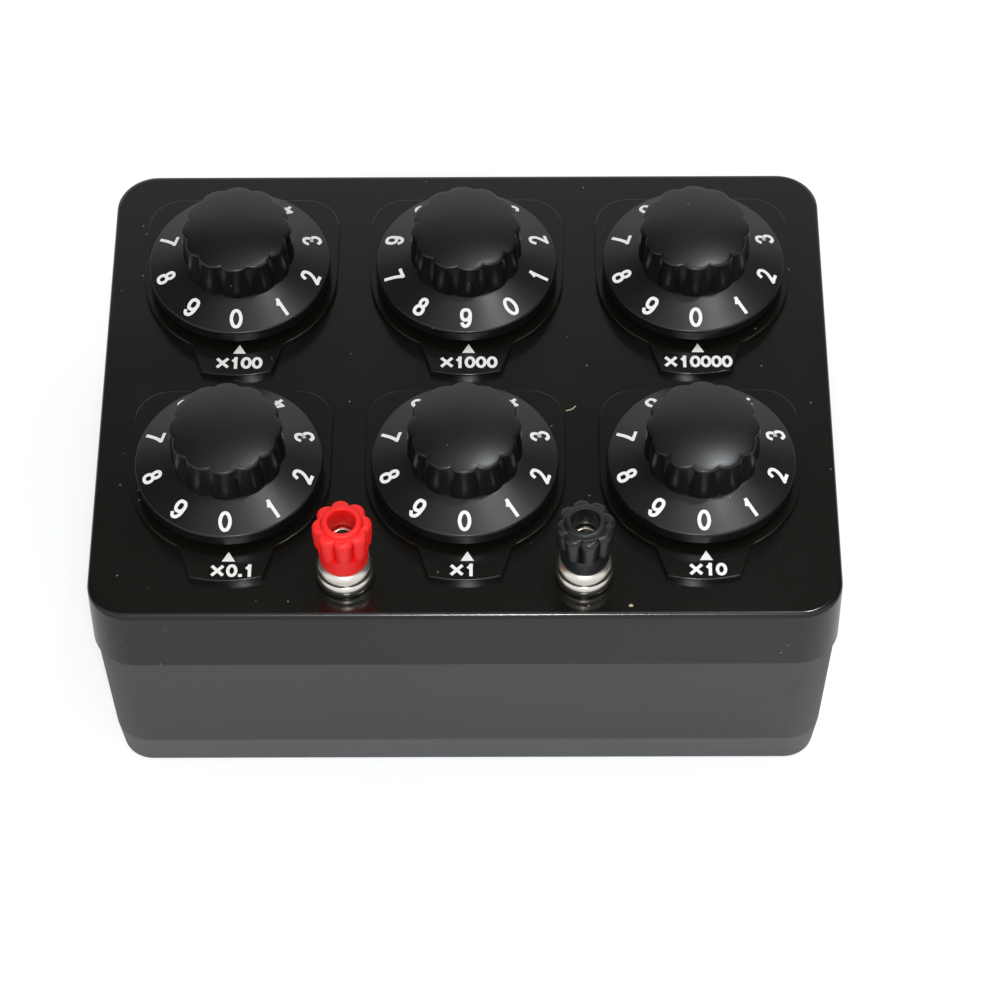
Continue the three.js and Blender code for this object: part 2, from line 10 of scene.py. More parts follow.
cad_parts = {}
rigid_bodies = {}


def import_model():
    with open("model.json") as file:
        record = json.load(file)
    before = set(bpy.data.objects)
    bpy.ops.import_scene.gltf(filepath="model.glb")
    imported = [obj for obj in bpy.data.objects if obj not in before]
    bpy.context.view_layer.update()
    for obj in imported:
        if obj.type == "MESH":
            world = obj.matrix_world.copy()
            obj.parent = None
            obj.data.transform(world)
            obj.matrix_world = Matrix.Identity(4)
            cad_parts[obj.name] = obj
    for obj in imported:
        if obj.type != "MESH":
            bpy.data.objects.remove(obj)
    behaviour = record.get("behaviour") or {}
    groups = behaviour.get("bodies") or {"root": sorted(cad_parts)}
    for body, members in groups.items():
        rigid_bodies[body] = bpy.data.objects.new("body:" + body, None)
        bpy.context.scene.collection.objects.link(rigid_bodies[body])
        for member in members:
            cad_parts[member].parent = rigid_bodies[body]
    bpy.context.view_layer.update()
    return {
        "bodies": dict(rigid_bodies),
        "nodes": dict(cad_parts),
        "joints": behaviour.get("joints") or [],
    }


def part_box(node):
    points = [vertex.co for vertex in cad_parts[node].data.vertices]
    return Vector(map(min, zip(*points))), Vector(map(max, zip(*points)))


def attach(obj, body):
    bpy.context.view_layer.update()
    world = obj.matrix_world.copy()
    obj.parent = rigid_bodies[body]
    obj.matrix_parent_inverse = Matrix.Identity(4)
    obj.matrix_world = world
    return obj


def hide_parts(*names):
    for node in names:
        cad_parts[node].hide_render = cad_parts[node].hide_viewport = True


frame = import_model()
joints = {joint["name"]: joint for joint in frame["joints"]}
scene = bpy.context.scene
scene.view_settings.view_transform = "Standard"

# Camera
# It stands in front of the box and looks down on it, with the long lens that the picture's
# straight lines ask for. Tilt is measured down from the horizon.
camera = bpy.data.objects.new("camera", bpy.data.cameras.new("camera"))
scene.collection.objects.link(camera)
camera.data.sensor_width = 36
camera.data.lens = 124.995
camera_place = Vector((0.010699, -0.473374, 0.694855))
camera_tilt = 0.96012071
camera_pan = 0.00657505
camera_roll = -0.00853053
camera.matrix_world = (
    Matrix.Translation(camera_place)
    @ Matrix.Rotation(camera_pan, 4, "Z")
    @ Matrix.Rotation(math.pi / 2 - camera_tilt, 4, "X")
    @ Matrix.Rotation(camera_roll, 4, "Z")
)
scene.camera = camera

# Base
# The lower half of the case, a tray moulded in dark grey plastic with a satin skin. Its walls draw
# in to a foot band, a lip goes up inside the cover, and four bosses take the screws from below.
mm_per_metre = 1000
smooth_up_to = math.radians(32)
overlap = 0.4
overrun = 1
case_half_x = 82.5
case_half_y = 62.5
case_corner = 9.5
corner_steps = 14
core_x, core_y = case_half_x - case_corner, case_half_y - case_corner
seam_height = 45
underside_inset = 4.4
foot_inset = 2.4
foot_rounding = 1
band_inset = 1.5
band_height = 10
wall_inset = 0.3
shoulder = seam_height - 0.3
shoulder_edge = 0.2
lip_inset = 2.8
lip_wall = 1.6
lip_inner = lip_inset + lip_wall
lip_top = 49
lip_edge = 0.2
lip_root = 38.7
tray_inset = 4.9
tray_floor = 3
tray_edge = 1
screw_places = [(x, y) for x in (-72, 72) for y in (-52, 52)]
screw_hole_radius = 1.8
screw_boss_radius = 4.6
screw_boss_top = 29.7
head_well_radius = 3.2
head_well_top = 8


def case_ring(verts, inset, height):
    """Puts one level of the case in its place: the case's outline, drawn in all round by the inset."""
    for vert in verts:
        centre = Vector((math.copysign(core_x, vert.co.x), math.copysign(core_y, vert.co.y)))
        reach = (vert.co.xy - centre).normalized() * (case_corner - inset)
        vert.co = (*(centre + reach), height)


def raised(bm, face, levels, place):
    """Extrudes a face from level to level; place() puts the corners of each new face where they belong."""
    place(face.verts, *levels[0])
    foot = face
    for level in levels[1:]:
        grown = bmesh.ops.extrude_face_region(bm, geom=[face])["geom"]
        if face is not foot:
            bmesh.ops.delete(bm, geom=[face], context="FACES_ONLY")
        face = next(item for item in grown if isinstance(item, bmesh.types.BMFace))
        place(face.verts, *level)
    bmesh.ops.recalc_face_normals(bm, faces=bm.faces)
    return face


def bevel(bm, geom, radius, segments, affect="EDGES"):
    """Rounds the given edges or corners."""
    bmesh.ops.bevel(
        bm, geom=geom, offset=radius, segments=segments, profile=0.5, affect=affect, material=-1
    )


def rounded_block(levels):
    """A closed skin over the case's outline at each level."""
    bm = bmesh.new()
    bmesh.ops.create_grid(bm, x_segments=1, y_segments=1, size=1)
    bmesh.ops.scale(bm, vec=(case_half_x, case_half_y, 1), verts=bm.verts)
    bevel(bm, bm.verts[:], case_corner, corner_steps, "VERTICES")
    raised(bm, bm.faces[:][0], levels, case_ring)
    return bm


def fillet(inset, height, radius, start=0, end=90, steps=8):
    """Levels round an edge, from the wall inwards and up to the top, about a centre inside the wall."""
    levels = []
    for i in range(steps + 1):
        turn = math.radians(start + (end - start) * i / steps)
        levels.append((inset + radius * (1 - math.cos(turn)), height + radius * math.sin(turn)))
    return levels


def as_mesh(bm, name):
    """What a bmesh holds, as mesh data that another bmesh or an object can take."""
    mesh = bpy.data.meshes.new(name)
    bm.to_mesh(mesh)
    bm.free()
    return mesh


def finished(bm, name, material):
    """The piece drawn in millimetres, as an object in metres, smooth but for its sharp edges."""
    bmesh.ops.scale(bm, vec=(1 / mm_per_metre,) * 3, verts=bm.verts)
    mesh = as_mesh(bm, name)
    mesh.materials.append(material)
    mesh.shade_smooth()
    mesh.set_sharp_from_angle(angle=smooth_up_to)
    piece = bpy.data.objects.new(name, mesh)
    scene.collection.objects.link(piece)
    return piece


def bars(places, radius, low, high, sides=40):
    """Upright round bars, one at each place."""
    bm = bmesh.new()
    for x, y in places:
        bmesh.ops.create_cone(
            bm,
            cap_ends=True,
            segments=sides,
            radius1=radius,
            radius2=radius,
            depth=high - low,
            matrix=Matrix.Translation((x, y, (low + high) / 2)),
        )
    return bm


def combined(bm, other, how):
    """The first solid joined with the other, or cut by it."""
    first, second = (finished(solid, "working", None) for solid in (bm, other))
    step = first.modifiers.new("step", "BOOLEAN")
    step.operation = how
    step.solver = "EXACT"
    step.object = second
    shaped = first.evaluated_get(bpy.context.evaluated_depsgraph_get())
    out = bmesh.new()
    out.from_mesh(shaped.data)
    bmesh.ops.scale(out, vec=(mm_per_metre,) * 3, verts=out.verts)
    for used in (first, second):
        bpy.data.objects.remove(used)
    return out


def settle(piece, body, slot, *nodes):
    """Gives a finished piece even shading on its flats and its body, and hides the nodes it stands for. The
    slot it is given is not used.
    """
    even = piece.modifiers.new("even", "WEIGHTED_NORMAL")
    even.keep_sharp = True
    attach(piece, body)
    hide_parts(*nodes)


def node(tree, kind, inputs=None, **settings):
    """One node, with its settings, and its inputs as values or as the outputs of other nodes."""
    new = tree.nodes.new(kind)
    for key, value in settings.items():
        setattr(new, key, value)
    for key, value in (inputs or {}).items():
        if isinstance(value, bpy.types.NodeSocket):
            tree.links.new(value, new.inputs[key])
        else:
            new.inputs[key].default_value = value
    return new


def maths(tree, operation, *values):
    """The result of one Math node."""
    return node(tree, "ShaderNodeMath", dict(enumerate(values)), operation=operation).outputs[0]


def mixed(tree, share, first, second, blend="MIX"):
    """The colour that goes from the first to the second with the share."""
    inputs = {0: share, 6: first, 7: second}
    return node(tree, "ShaderNodeMix", inputs, data_type="RGBA", blend_type=blend).outputs[2]


def shared_group(name, inputs, outputs):
    """An empty node group with named inputs and outputs."""
    tree = bpy.data.node_groups.new(name, "ShaderNodeTree")
    for socket, kind, value in inputs:
        made = tree.interface.new_socket(socket, in_out="INPUT", socket_type=kind)
        if value is not None:
            made.default_value = value
    for socket in outputs:
        tree.interface.new_socket(socket, in_out="OUTPUT", socket_type="NodeSocketFloat")
    return tree, tree.nodes.new("NodeGroupInput").outputs, tree.nodes.new("NodeGroupOutput").inputs


def moulded_skin_group():
    """Moulded plastic: fine grain of the mould, and broad cloudy patches where it filled unevenly."""
    tree, given, out = shared_group(
        "moulded_skin",
        [
            ("Vector", "NodeSocketVector", None),
            ("Grain Scale", "NodeSocketFloat", 2500.0),
            ("Cloud Scale", "NodeSocketFloat", 30.0),
        ],
        ["Grain", "Cloud"],
    )
    grain = node(
        tree,
        "ShaderNodeTexNoise",
        {"Vector": given["Vector"], "Scale": given["Grain Scale"], "Detail": 3.0, "Roughness": 0.6},
    )
    cloud = node(
        tree,
        "ShaderNodeTexNoise",
        {"Vector": given["Vector"], "Scale": given["Cloud Scale"], "Detail": 5.0, "Roughness": 0.62},
    )
    tree.links.new(grain.outputs["Fac"], out["Grain"])
    tree.links.new(cloud.outputs["Fac"], out["Cloud"])
    return tree


def dust_group():
    """Fine specks of dust on a share of the cells of a pattern, and hair-fine wiping marks."""
    tree, given, out = shared_group(
        "dust",
        [
            ("Vector", "NodeSocketVector", None),
            ("Speck Scale", "NodeSocketFloat", 260.0),
            ("Speck Size", "NodeSocketFloat", 0.022),
            ("Share", "NodeSocketFloat", 0.35),
        ],
        ["Specks", "Marks"],
    )
    cells = node(
        tree,
        "ShaderNodeTexVoronoi",
        {"Vector": given["Vector"], "Scale": given["Speck Scale"], "Randomness": 1.0},
    )
    pick = node(tree, "ShaderNodeSeparateColor", {"Color": cells.outputs["Color"]})
    close = maths(tree, "LESS_THAN", cells.outputs["Distance"], given["Speck Size"])
    some = maths(tree, "LESS_THAN", pick.outputs["Red"], given["Share"])
    drawn_out = node(
        tree,
        "ShaderNodeMapping",
        {"Vector": given["Vector"], "Rotation": (0.0, 0.0, 0.5), "Scale": (18.0, 900.0, 18.0)},
    )
    wiping = node(
        tree,
        "ShaderNodeTexNoise",
        {"Vector": drawn_out.outputs["Vector"], "Scale": 1.0, "Detail": 4.0, "Roughness": 0.7},
    )
    fine = node(
        tree,
        "ShaderNodeMapRange",
        {"Value": wiping.outputs["Fac"], "From Min": 0.6, "From Max": 0.75},
    )
    tree.links.new(maths(tree, "MULTIPLY", close, some), out["Specks"])
    tree.links.new(fine.outputs["Result"], out["Marks"])
    return tree


moulded_skin = moulded_skin_group()
dust = dust_group()
plastic_spread = 0.12
bump_distance = 0.0002


def new_material(name):
    """A new material, its node tree and its shader."""
    material = bpy.data.materials.new(name)
    material.use_nodes = True
    return material, material.node_tree, material.node_tree.nodes["Principled BSDF"]


def shaded(colour, share):
    """A colour made darker or lighter by a share, with its alpha."""
    return (*(channel * share for channel in colour), 1.0)


def plastic(
    name,
    colour,
    roughness,
    grain_scale=2500.0,
    grain_depth=0.02,
    cloud=0.12,
    speck_colour=(0.13, 0.13, 0.12, 1.0),
    speck_share=0.08,
    speck_size=0.05,
    marks=0.05,
):
    """Moulded plastic of one colour, with the mould's grain, cloudy patches, dust and wiping marks."""
    material, tree, shader = new_material(name)
    place = node(tree, "ShaderNodeTexCoord").outputs["Object"]
    skin = node(
        tree,
        "ShaderNodeGroup",
        {"Vector": place, "Grain Scale": grain_scale},
        node_tree=moulded_skin,
    )
    specks = node(
        tree,
        "ShaderNodeGroup",
        {"Vector": place, "Share": speck_share, "Speck Size": speck_size},
        node_tree=dust,
    )
    tone = mixed(tree, skin.outputs["Cloud"], shaded(colour, 1 - cloud), shaded(colour, 1 + cloud))
    dusty = mixed(tree, specks.outputs["Specks"], tone, speck_colour)
    patchy = node(
        tree,
        "ShaderNodeMapRange",
        {
            "Value": skin.outputs["Cloud"],
            "From Min": 0.3,
            "From Max": 0.7,
            "To Min": roughness * (1 - plastic_spread),
            "To Max": roughness * (1 + plastic_spread),
        },
    )
    wiped = maths(tree, "MULTIPLY_ADD", specks.outputs["Marks"], marks, patchy.outputs["Result"])
    bump = node(
        tree,
        "ShaderNodeBump",
        {"Strength": grain_depth, "Distance": bump_distance, "Height": skin.outputs["Grain"]},
    )
    tree.links.new(dusty, shader.inputs["Base Color"])
    tree.links.new(wiped, shader.inputs["Roughness"])
    tree.links.new(bump.outputs["Normal"], shader.inputs["Normal"])
    return material


base_grey = plastic(
    "base_grey",
    (0.044, 0.045, 0.046),
    0.45,
    grain_scale=3200.0,
    grain_depth=0.25,
    cloud=0.28,
    marks=0.1,
)
base_tree = base_grey.node_tree
base_colour = base_tree.nodes["Principled BSDF"].inputs["Base Color"]
base_place = node(base_tree, "ShaderNodeTexCoord").outputs["Object"]
base_height = node(base_tree, "ShaderNodeSeparateXYZ", {"Vector": base_place}).outputs["Z"]
# Below about 10 mm the base is painted a lighter grey: a painted reflection of the white table in the foot
# band's steeper facet, not a colour of the plastic itself.
foot_band_painted_reflection = node(
    base_tree,
    "ShaderNodeMapRange",
    {"Value": base_height, "From Min": 0.0108, "From Max": 0.0098},
)
painted_reflection_colour = mixed(
    base_tree,
    foot_band_painted_reflection.outputs["Result"],
    base_colour.links[0].from_socket,
    (0.088, 0.090, 0.092, 1.0),
)
base_tree.links.new(painted_reflection_colour, base_colour)
base = rounded_block(
    [
        (underside_inset, 0),
        *fillet(foot_inset, foot_rounding, foot_rounding, -90, 0, 5),
        (band_inset, band_height),
        (wall_inset, shoulder - shoulder_edge),
        (wall_inset + shoulder_edge, shoulder),
        (lip_inset, shoulder),
        (lip_inset, lip_top - lip_edge),
        (lip_inset + lip_edge, lip_top),
        (lip_inner - lip_edge, lip_top),
        (lip_inner, lip_top - lip_edge),
        (lip_inner, lip_root + lip_wall),
        (lip_inset, lip_root),
        (tray_inset, tray_floor + tray_edge),
        (tray_inset + tray_edge, tray_floor),
    ]
)
screw_bosses = bars(screw_places, screw_boss_radius, tray_floor - overlap, screw_boss_top)
head_wells = bars(screw_places, head_well_radius, -overrun, head_well_top)
screw_holes = bars(
    screw_places, screw_hole_radius, head_well_top - overrun, screw_boss_top + overrun, 24
)
base = combined(base, screw_bosses, "UNION")
base = combined(base, head_wells, "DIFFERENCE")
base = combined(base, screw_holes, "DIFFERENCE")
settle(finished(base, "base", base_grey), "case", "base_grey", "base_tray")

# Cover
# The upper half of the case, moulded in gloss black plastic: a flat panel with a rounded edge and a
# short skirt, one raised plate with a front tab under each dial, a low boss under each post, and four
# pillars for the screws.
panel_top = 64
panel_under = 61
cover_inner = 2.5
cover_flare = 0.3
skirt_edge = 0.2
cover_edge = 1.25
plate_rise = 1.6
plate_edge = 0.3
plate_half = 22.3
plate_back = 23
plate_corner = 8
tab_reach = 28.7
tab_tip_half = 8
tab_root_half = 10.4
post_boss_radius = 6.5
post_boss_height = 0.9
post_boss_edge = 0.2
post_hole_radius = 3.3
bushing_hole_radius = 4.8
pillar_radius = 4
pillar_foot = 30
pilot_top = 41
dial_bodies = [name for name in frame["bodies"] if name.startswith("dial_")]
dial_places = {name: Vector(joints[name + "_turn"]["pos_m"]) * mm_per_metre for name in dial_bodies}
post_places = {
    name: Vector(joints[name + "_post_turn"]["pos_m"]) * mm_per_metre for name in ("red", "black")
}


def turned(profile, steps=96):
    """A solid of revolution from its half section, a list of (radius, height) from axis to axis."""
    bm = bmesh.new()
    verts = [bm.verts.new((radius, 0, height)) for radius, height in profile]
    edges = [bm.edges.new(pair) for pair in zip(verts, verts[1:])]
    bmesh.ops.spin(
        bm,
        geom=verts + edges,
        cent=(0, 0, 0),
        axis=(0, 0, 1),
        angle=2 * math.pi,
        steps=steps,
        use_merge=True,
    )
    bmesh.ops.remove_doubles(bm, verts=bm.verts, dist=0.0005)
    bmesh.ops.recalc_face_normals(bm, faces=bm.faces)
    return bm


def round_off(bm, rings, radius, segments=4):
    """Rounds the turned edges that lie at the given (radius, height) places."""
    edges = []
    for edge in bm.edges:
        for reach, height in rings:
            if all(
                abs(vert.co.xy.length - reach) < 0.01 and abs(vert.co.z - height) < 0.01
                for vert in edge.verts
            ):
                edges.append(edge)
    bevel(bm, edges, radius, segments)


def move(bm, way):
    """Moves all of a bmesh."""
    bmesh.ops.translate(bm, vec=way, verts=bm.verts)


def thicken(bm, rise):
    """Makes a solid of the flat faces in a bmesh, by raising a copy of them."""
    grown = bmesh.ops.extrude_face_region(bm, geom=bm.faces[:], use_keep_orig=True)["geom"]
    lifted = [item for item in grown if isinstance(item, bmesh.types.BMVert)]
    bmesh.ops.translate(bm, vec=(0, 0, rise), verts=lifted)
    bmesh.ops.recalc_face_normals(bm, faces=bm.faces)


def dial_plate(place):
    """One plate: square at the back, round at the front, with the tab that carries pointer and figures."""
    bm = bmesh.new()

    def swept(start, centre, degrees, steps):
        first = bm.verts.new((*start, 0))
        arc = bmesh.ops.spin(
            bm,
            geom=[first],
            cent=(*centre, 0),
            axis=(0, 0, 1),
            angle=math.radians(degrees),
            steps=steps,
        )
        last = next(item for item in arc["geom_last"] if isinstance(item, bmesh.types.BMVert))
        return first, last

    tip = math.degrees(math.asin(tab_tip_half / tab_reach))
    root = math.degrees(math.asin(tab_root_half / plate_half))
    root_start = (tab_root_half, -plate_half * math.cos(math.radians(root)))
    corner_y = plate_back - plate_corner
    tab = swept((0, -tab_reach), (0, 0), tip, 6)
    side = swept(root_start, (0, 0), 90 - root, 16)
    corner = swept((plate_half, corner_y), (plate_half - plate_corner, corner_y), 90, 10)
    middle = bm.verts.new((0, plate_back, 0))
    for pair in ((tab[1], side[0]), (side[1], corner[0]), (corner[1], middle)):
        bm.edges.new(pair)
    bmesh.ops.mirror(bm, geom=bm.verts[:] + bm.edges[:], axis="X", merge_dist=0.01)
    bmesh.ops.holes_fill(bm, edges=bm.edges)
    thicken(bm, plate_rise + overlap)
    rim = [edge for edge in bm.edges if all(vert.co.z > plate_rise for vert in edge.verts)]
    bevel(bm, rim, plate_edge, 3)
    move(bm, (place.x, place.y, panel_top - overlap))
    return bm


cover = rounded_block(
    [
        (cover_inner, panel_under),
        (cover_inner, seam_height),
        (-cover_flare / 2, seam_height),
        (-cover_flare, seam_height + skirt_edge),
        *fillet(0, panel_top - cover_edge, cover_edge),
    ]
)
for place in dial_places.values():
    cover = combined(cover, dial_plate(place), "UNION")
for place in post_places.values():
    boss = turned(
        [
            (0, -overlap),
            (post_boss_radius, -overlap),
            (post_boss_radius, post_boss_height),
            (0, post_boss_height),
        ],
        72,
    )
    round_off(boss, [(post_boss_radius, post_boss_height)], post_boss_edge, 2)
    move(boss, place)
    cover = combined(cover, boss, "UNION")
pillars = bars(screw_places, pillar_radius, pillar_foot, panel_under + overlap)
pilot_holes = bars(screw_places, screw_hole_radius, pillar_foot - overrun, pilot_top, 24)
bushing_holes = bars(
    [place.xy for place in dial_places.values()],
    bushing_hole_radius,
    panel_under - overrun,
    panel_top + plate_rise + overrun,
    48,
)
post_holes = bars(
    [place.xy for place in post_places.values()],
    post_hole_radius,
    panel_under - overrun,
    panel_top + post_boss_height + overrun,
    48,
)
cover = combined(cover, pillars, "UNION")
for holes in (pilot_holes, bushing_holes, post_holes):
    cover = combined(cover, holes, "DIFFERENCE")
cover_black = plastic(
    "cover_black",
    (0.0050, 0.0047, 0.0036),
    0.17,
    grain_scale=260.0,
    grain_depth=0.012,
    speck_share=0.5,
    speck_size=0.06,
    marks=0.04,
)
settle(finished(cover, "cover", cover_black), "case", "cover_black", "top_cover")

# Dial knobs
# One black moulding per dial: a coned skirt for the figures and a fluted handle with twelve lobes
# under a shallow crown. It is bored from below for the shaft and drilled at the back for its screw.
front = -math.pi / 2
knob_steps = 192
knob_lobes = 12
knob_lobe_steps = 24
skirt_radius = 20.8
skirt_under = 3.9
skirt_rim = 6.9
skirt_foot_rounding = 0.25
skirt_rim_rounding = 0.4
recess_radius = 18.5
recess_ceiling = 5.8
cone_top = 9.5
handle_root = 12.75
handle_top = 12.45
handle_foot = 9.0
handle_edge = 0.5
flute_depth = 0.85
knob_rim = 18.4
knob_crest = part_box("dial_knob_x1")[1].z * mm_per_metre - panel_top
crest_clearance = 0.02
dome_power = 2.3
crown_shares = (0.9, 0.75, 0.58, 0.4, 0.22, 0.08)
bore_radius = 3.3
bore_top = 16
grub_hole_radius = 1.8
grub_hole_reach = 15
grub_hole_height = 14.1
reading_step = math.radians(36)
dial_turns = {name: reading_step if name == "dial_x1000" else 0.0 for name in dial_bodies}


def lobe_maker(outer, valley, count):
    """How far a ring of equal round lobes reaches in a direction, drawn in all round by an inset."""
    half = math.pi / count
    centre = (outer**2 - valley**2) / (2 * (outer - valley * math.cos(half)))

    def reach(way, inset=0.0):
        off = (way - front + half) % (2 * half) - half
        across = (outer - centre - inset) ** 2 - (centre * math.sin(off)) ** 2
        return centre * math.cos(off) + math.sqrt(max(across, 0))

    return reach


def lobed_disc(count, steps):
    """A flat disc with the given number of corners to each lobe."""
    bm = bmesh.new()
    bmesh.ops.create_circle(bm, cap_ends=True, segments=count * steps, radius=1)
    return bm


def knob_dome(reach):
    """Height of the handle's shallow dome, a little flatter in the middle, at a distance from the axis."""
    foot = knob_rim + handle_edge
    return foot + (knob_crest - foot - crest_clearance) * (1 - (reach / handle_top) ** dome_power)


def knob_ring(verts, outer, inset, drop, share=1.0, flat=None):
    """One level of the handle: lobes of the given size, at a flat height or under the dome."""
    reach = lobe_maker(outer, outer - flute_depth, knob_lobes)
    for vert in verts:
        way = math.atan2(vert.co.y, vert.co.x)
        far = reach(way, inset) * share
        height = knob_dome(far) - drop if flat is None else flat
        vert.co = (far * math.cos(way), far * math.sin(way), height)


def turn_about(bm, axis, angle):
    """Turns all of a bmesh about an axis through the origin."""
    bmesh.ops.rotate(
        bm, cent=(0, 0, 0), matrix=Matrix.Rotation(angle, 3, axis), verts=bm.verts
    )


knob = turned(
    [
        (0, recess_ceiling),
        (recess_radius, recess_ceiling),
        (recess_radius, skirt_under),
        (skirt_radius, skirt_under),
        (skirt_radius, skirt_rim),
        (handle_root, cone_top),
        (0, cone_top),
    ],
    knob_steps,
)
round_off(
    knob, [(skirt_radius, skirt_under), (recess_radius, skirt_under)], skirt_foot_rounding, 3
)
round_off(knob, [(skirt_radius, skirt_rim)], skirt_rim_rounding, 5)
handle_levels = [(handle_root, 0.0, 0, 1.0, handle_foot), (handle_top, 0.0, handle_edge)]
for inset, height in fillet(0, 0, handle_edge, steps=6)[1:]:
    handle_levels.append((handle_top, inset, handle_edge - height))
handle_levels += [(handle_top, handle_edge, 0, share) for share in crown_shares]
handle = lobed_disc(knob_lobes, knob_lobe_steps)
crown = raised(handle, handle.faces[:][0], handle_levels, knob_ring)
bmesh.ops.poke(handle, faces=[crown])
shaft_bore = bars([(0, 0)], bore_radius, recess_ceiling - overrun, bore_top, 32)
grub_hole = bars([(0, 0)], grub_hole_radius, 0, grub_hole_reach, 24)
turn_about(grub_hole, "X", -math.pi / 2)
move(grub_hole, (0, 0, grub_hole_height))
knob = combined(knob, handle, "UNION")
knob = combined(knob, shaft_bore, "DIFFERENCE")
knob = combined(knob, grub_hole, "DIFFERENCE")
knob_mesh = as_mesh(knob, "knob")
dial_black = plastic(
    "dial_black",
    (0.0025, 0.0027, 0.0028),
    0.32,
    grain_scale=1800.0,
    grain_depth=0.03,
    speck_share=0.2,
)


def placed_dial(mesh, name):
    """A copy of a mesh drawn about the dial's axis, turned and moved to one dial."""
    bm = bmesh.new()
    bm.from_mesh(mesh)
    moved = Matrix.Translation(dial_places[name]) @ Matrix.Rotation(dial_turns[name], 4, "Z")
    bmesh.ops.transform(bm, matrix=moved, verts=bm.verts)
    return bm


for name in dial_bodies:
    piece = finished(placed_dial(knob_mesh, name), name.replace("dial", "knob"), dial_black)
    settle(piece, name, "dial_black", name.replace("dial_", "dial_knob_"))

# Dial figures
# The readings 0 to 9 round each skirt, printed in white with their tops to the axis. They stand
# 36 degrees apart and count up against the clock, so the dial turned by the clock reads one more.
figure_size = (2.7, 4.7)
narrow_one_size = (1.8, 4.7)
figure_stroke = 0.78
figure_radius = 17.4
print_sink = 0.1
print_rise = 0.02
straight_step = 0.6
cone_slope = math.atan2(cone_top - skirt_rim, skirt_radius - handle_root)
two_bend = [(0.02, 0.8), (0.16, 0.95), (0.5, 1), (0.86, 0.9), (0.93, 0.7), (0.78, 0.47)]
two_bend += [(0.35, 0.18), (0.05, 0)]
three_top = [(0.04, 0.87), (0.22, 0.98), (0.52, 1), (0.88, 0.88), (0.9, 0.68), (0.74, 0.56), (0.5, 0.53)]
three_foot = [(0.5, 0.53), (0.8, 0.49), (1, 0.28), (0.84, 0.07), (0.48, 0), (0.18, 0.03), (0.02, 0.14)]
five_bowl = [(0.1, 0.52), (0.4, 0.62), (0.76, 0.57), (1, 0.31), (0.82, 0.06), (0.46, 0)]
five_bowl += [(0.18, 0.03), (0.02, 0.14)]
six_bend = [(0.92, 0.87), (0.8, 0.97), (0.5, 1), (0.14, 0.85), (0, 0.45), (0.08, 0.12), (0.5, 0)]
six_bend += [(0.92, 0.11), (1, 0.32), (0.9, 0.53), (0.52, 0.62), (0.14, 0.52), (0.03, 0.38)]
figure_strokes = {
    "0": [("loop", [(0.5, 1), (0, 0.72), (0, 0.28), (0.5, 0), (1, 0.28), (1, 0.72)])],
    "1": [("line", [(0.66, 0), (0.66, 1)]), ("line", [(0.2, 0.76), (0.64, 0.95)])],
    "2": [("bend", two_bend), ("line", [(0.1, 0), (0.9, 0)])],
    "3": [("bend", three_top), ("bend", three_foot)],
    "4": [
        ("line", [(0.72, 0), (0.72, 1)]),
        ("line", [(0.74, 1), (0.02, 0.3)]),
        ("line", [(0.1, 0.28), (0.9, 0.28)]),
    ],
    "5": [("line", [(0.88, 1), (0.22, 1), (0.1, 0.52)]), ("bend", five_bowl)],
    "6": [("bend", six_bend)],
    "7": [("line", [(0, 1), (1, 1)]), ("bend", [(0.97, 1), (0.6, 0.5), (0.38, 0)])],
    "8": [
        ("loop", [(0.5, 1), (0.12, 0.76), (0.5, 0.52), (0.88, 0.76)]),
        ("loop", [(0.5, 0.52), (0, 0.26), (0.5, 0), (1, 0.26)]),
    ],
    "x": [("line", [(0, 0), (1, 1)]), ("line", [(0, 1), (1, 0)])],
    ".": [("line", [(0, 0.5), (1, 0.5)])],
}


def stroke_line(kind, points):
    """The stroke's middle line: smooth through its points, or straight between them in short steps."""
    if kind == "line":
        line = []
        for start, end in zip(points, points[1:]):
            steps = max(1, round((Vector(end) - Vector(start)).length / straight_step))
            line += [Vector(start).lerp(Vector(end), i / steps) for i in range(steps)]
        return [*line, Vector(points[-1])]
    curve = bpy.data.curves.new("stroke", "CURVE")
    curve.resolution_u = 6
    spline = curve.splines.new("BEZIER")
    spline.bezier_points.add(len(points) - 1)
    spline.use_cyclic_u = kind == "loop"
    for knot, point in zip(spline.bezier_points, points):
        knot.co = (*point, 0)
        knot.handle_left_type = knot.handle_right_type = "AUTO"
    drawn = bpy.data.objects.new("stroke", curve)
    scene.collection.objects.link(drawn)
    line = [vert.co.xy.copy() for vert in drawn.to_mesh().vertices]
    bpy.data.objects.remove(drawn)
    return line


def stroke_solid(line, closed, width):
    """A flat band of even width along a line, mitred at its corners and square at its ends, as a solid."""
    bm = bmesh.new()
    sides = []
    last = len(line) - 1
    if not closed:
        line[0] -= (line[1] - line[0]).normalized() * width / 2
        line[-1] += (line[-1] - line[-2]).normalized() * width / 2
    for i, point in enumerate(line):
        to_here = point - line[i - 1] if i or closed else line[1] - point
        onward = line[(i + 1) % len(line)] - point if i < last or closed else to_here
        left = Vector((-to_here.y, to_here.x)).normalized()
        across = (left + Vector((-onward.y, onward.x)).normalized()).normalized()
        reach = across * (width / 2 / max(across.dot(left), 0.5))
        sides.append([bm.verts.new((*(point + side * reach), -print_sink)) for side in (-1, 1)])
    pairs = list(zip(sides, sides[1:])) + ([(sides[-1], sides[0])] if closed else [])
    for (a, b), (c, d) in pairs:
        bm.faces.new((a, b, d, c))
    thicken(bm, print_rise + print_sink)
    return bm


def figure(sign, size, stroke):
    """One figure about its own middle, as a flat solid whose outside has the given size."""
    wide, tall = size
    solid = None
    for kind, points in figure_strokes["6" if sign == "9" else sign]:
        line = [
            Vector(((x - 0.5) * (wide - stroke), (y - 0.5) * (tall - stroke)))
            for x, y in stroke_line(kind, points)
        ]
        band = stroke_solid(line, kind == "loop", stroke)
        solid = band if solid is None else combined(solid, band, "UNION")
    if sign == "9":
        turn_about(solid, "Z", math.pi)
    return solid


